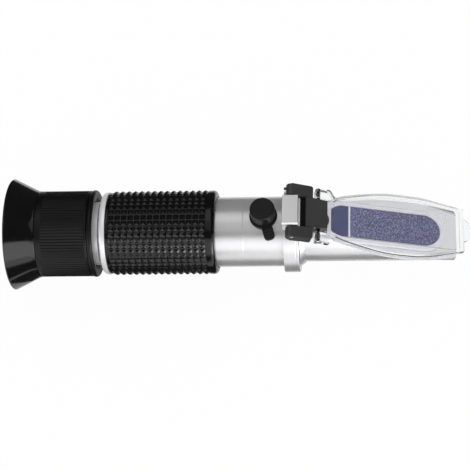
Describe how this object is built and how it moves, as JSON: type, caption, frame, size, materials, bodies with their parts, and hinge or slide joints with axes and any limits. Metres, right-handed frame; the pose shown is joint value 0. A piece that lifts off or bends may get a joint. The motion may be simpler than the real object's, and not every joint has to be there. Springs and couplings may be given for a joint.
{
  "type": "antifreeze refractometer",
  "caption": "Hand-held optical refractometer: flared eyecup, focusing ring, rubber grip, slanted prism face under a hinged clear daylight cover, and a calibration screw under a rubber cap.",
  "frame": {"origin": "centre of the bounding box, on the optical axis half way between the eyecup rim and the tip of the cover's tab", "axes": "+X along the optical axis from the eyepiece to the prism, +Z out of the prism side, where the hinge and the calibration cap stand, +Y across"},
  "size_m": [0.163, 0.04, 0.04],
  "materials": {
    "gloss_rubber": "smooth glossy black rubber",
    "matt_black": "fine matt black plastic",
    "anodised_black": "black anodised against stray light",
    "optical_glass": "polished",
    "steel": "turned",
    "satin_aluminium": "satin anodised, finely blasted",
    "grip_rubber": "moulded with pyramid studs, semi-matt",
    "cap_rubber": "moulded, semi-gloss",
    "brass": "plain",
    "blue_prism_glass": "blue glass, fine-ground over most of its face",
    "prism_sealant": "pale sealing compound",
    "clear_acrylic": "clear moulded acrylic"
  },
  "bodies": {
    "barrel": {"main_tube": "satin_aluminium", "grip_sleeve": "grip_rubber", "grip_end_ring": "satin_aluminium", "eyepiece_neck": "satin_aluminium", "focus_guide_pin": "steel", "reticle": "optical_glass", "reticle_ring": "anodised_black", "strip_clamp_ring": "anodised_black", "strip_screw": "steel", "screw_bush": "brass", "hinge_collar": "satin_aluminium", "collar_grub_screw_near": "steel", "collar_grub_screw_far": "steel", "collar_lock_ring": "satin_aluminium", "prism_housing": "satin_aluminium", "light_baffle": "anodised_black", "prism": "blue_prism_glass", "prism_seal": "prism_sealant", "hinge_pin": "steel"},
    "lens_carrier": {"lens_cell": "anodised_black", "cell_lock_ring": "anodised_black", "eye_lens_ring": "anodised_black", "eye_lens": "optical_glass", "lens_spacer": "anodised_black", "field_lens": "optical_glass"},
    "focusing": {"focus_ring": "matt_black", "eyecup": "gloss_rubber"},
    "compensator": {"bimetal_strip": "brass", "objective_cell": "anodised_black", "objective_rear_lens": "optical_glass", "objective_front_lens": "optical_glass", "objective_lock_ring": "anodised_black"},
    "adjuster": {"adjuster_pad": "matt_black"},
    "screw": {"calibration_screw": "steel"},
    "cap": {"calibration_cap": "cap_rubber"},
    "bracket": {"hinge_bracket": "matt_black", "cover_pin": "steel"},
    "cover": {"daylight_cover": "clear_acrylic"}
  },
  "joints": [
    {"name": "focus_slide", "type": "slide", "parent": "barrel", "child": "lens_carrier", "axis": [1, 0, 0], "range_m": [-0.001, 0.001]},
    {"name": "focus_turn", "type": "hinge", "parent": "lens_carrier", "child": "focusing", "pos_m": [-0.0715, 0, 0], "axis": [1, 0, 0], "range_deg": [-180, 180]},
    {"name": "adjuster_slide", "type": "slide", "parent": "barrel", "child": "adjuster", "axis": [0, 0, 1], "range_m": [-0.00025, 0.00025]},
    {"name": "calibration_turn", "type": "hinge", "parent": "adjuster", "child": "screw", "pos_m": [0.00956, 0, 0.0117], "axis": [0, 0, 1], "range_deg": [-180, 180]},
    {"name": "objective_flex", "type": "hinge", "parent": "barrel", "child": "compensator", "pos_m": [-0.01554, 0, -0.0086], "axis": [0, -1, 0], "range_deg": [-0.58, 0.58]},
    {"name": "cap_pull", "type": "slide", "parent": "barrel", "child": "cap", "axis": [0, 0, 1], "range_m": [0, 0.012]},
    {"name": "bracket_hinge", "type": "hinge", "parent": "barrel", "child": "bracket", "pos_m": [0.01971, 0, 0.01561], "axis": [0, -1, 0], "range_deg": [0, 115]},
    {"name": "cover_tilt", "type": "hinge", "parent": "bracket", "child": "cover", "pos_m": [0.02876, 0, 0.0129], "axis": [0, -1, 0], "range_deg": [0, 15]}
  ],
  "couplings": [
    {"joint": "focus_slide", "follows": "focus_turn", "m_per_rad": 0.000318},
    {"joint": "calibration_turn", "follows": "adjuster_slide", "rad_per_m": 12566},
    {"joint": "objective_flex", "follows": "adjuster_slide", "rad_per_m": 39.8}
  ]
}
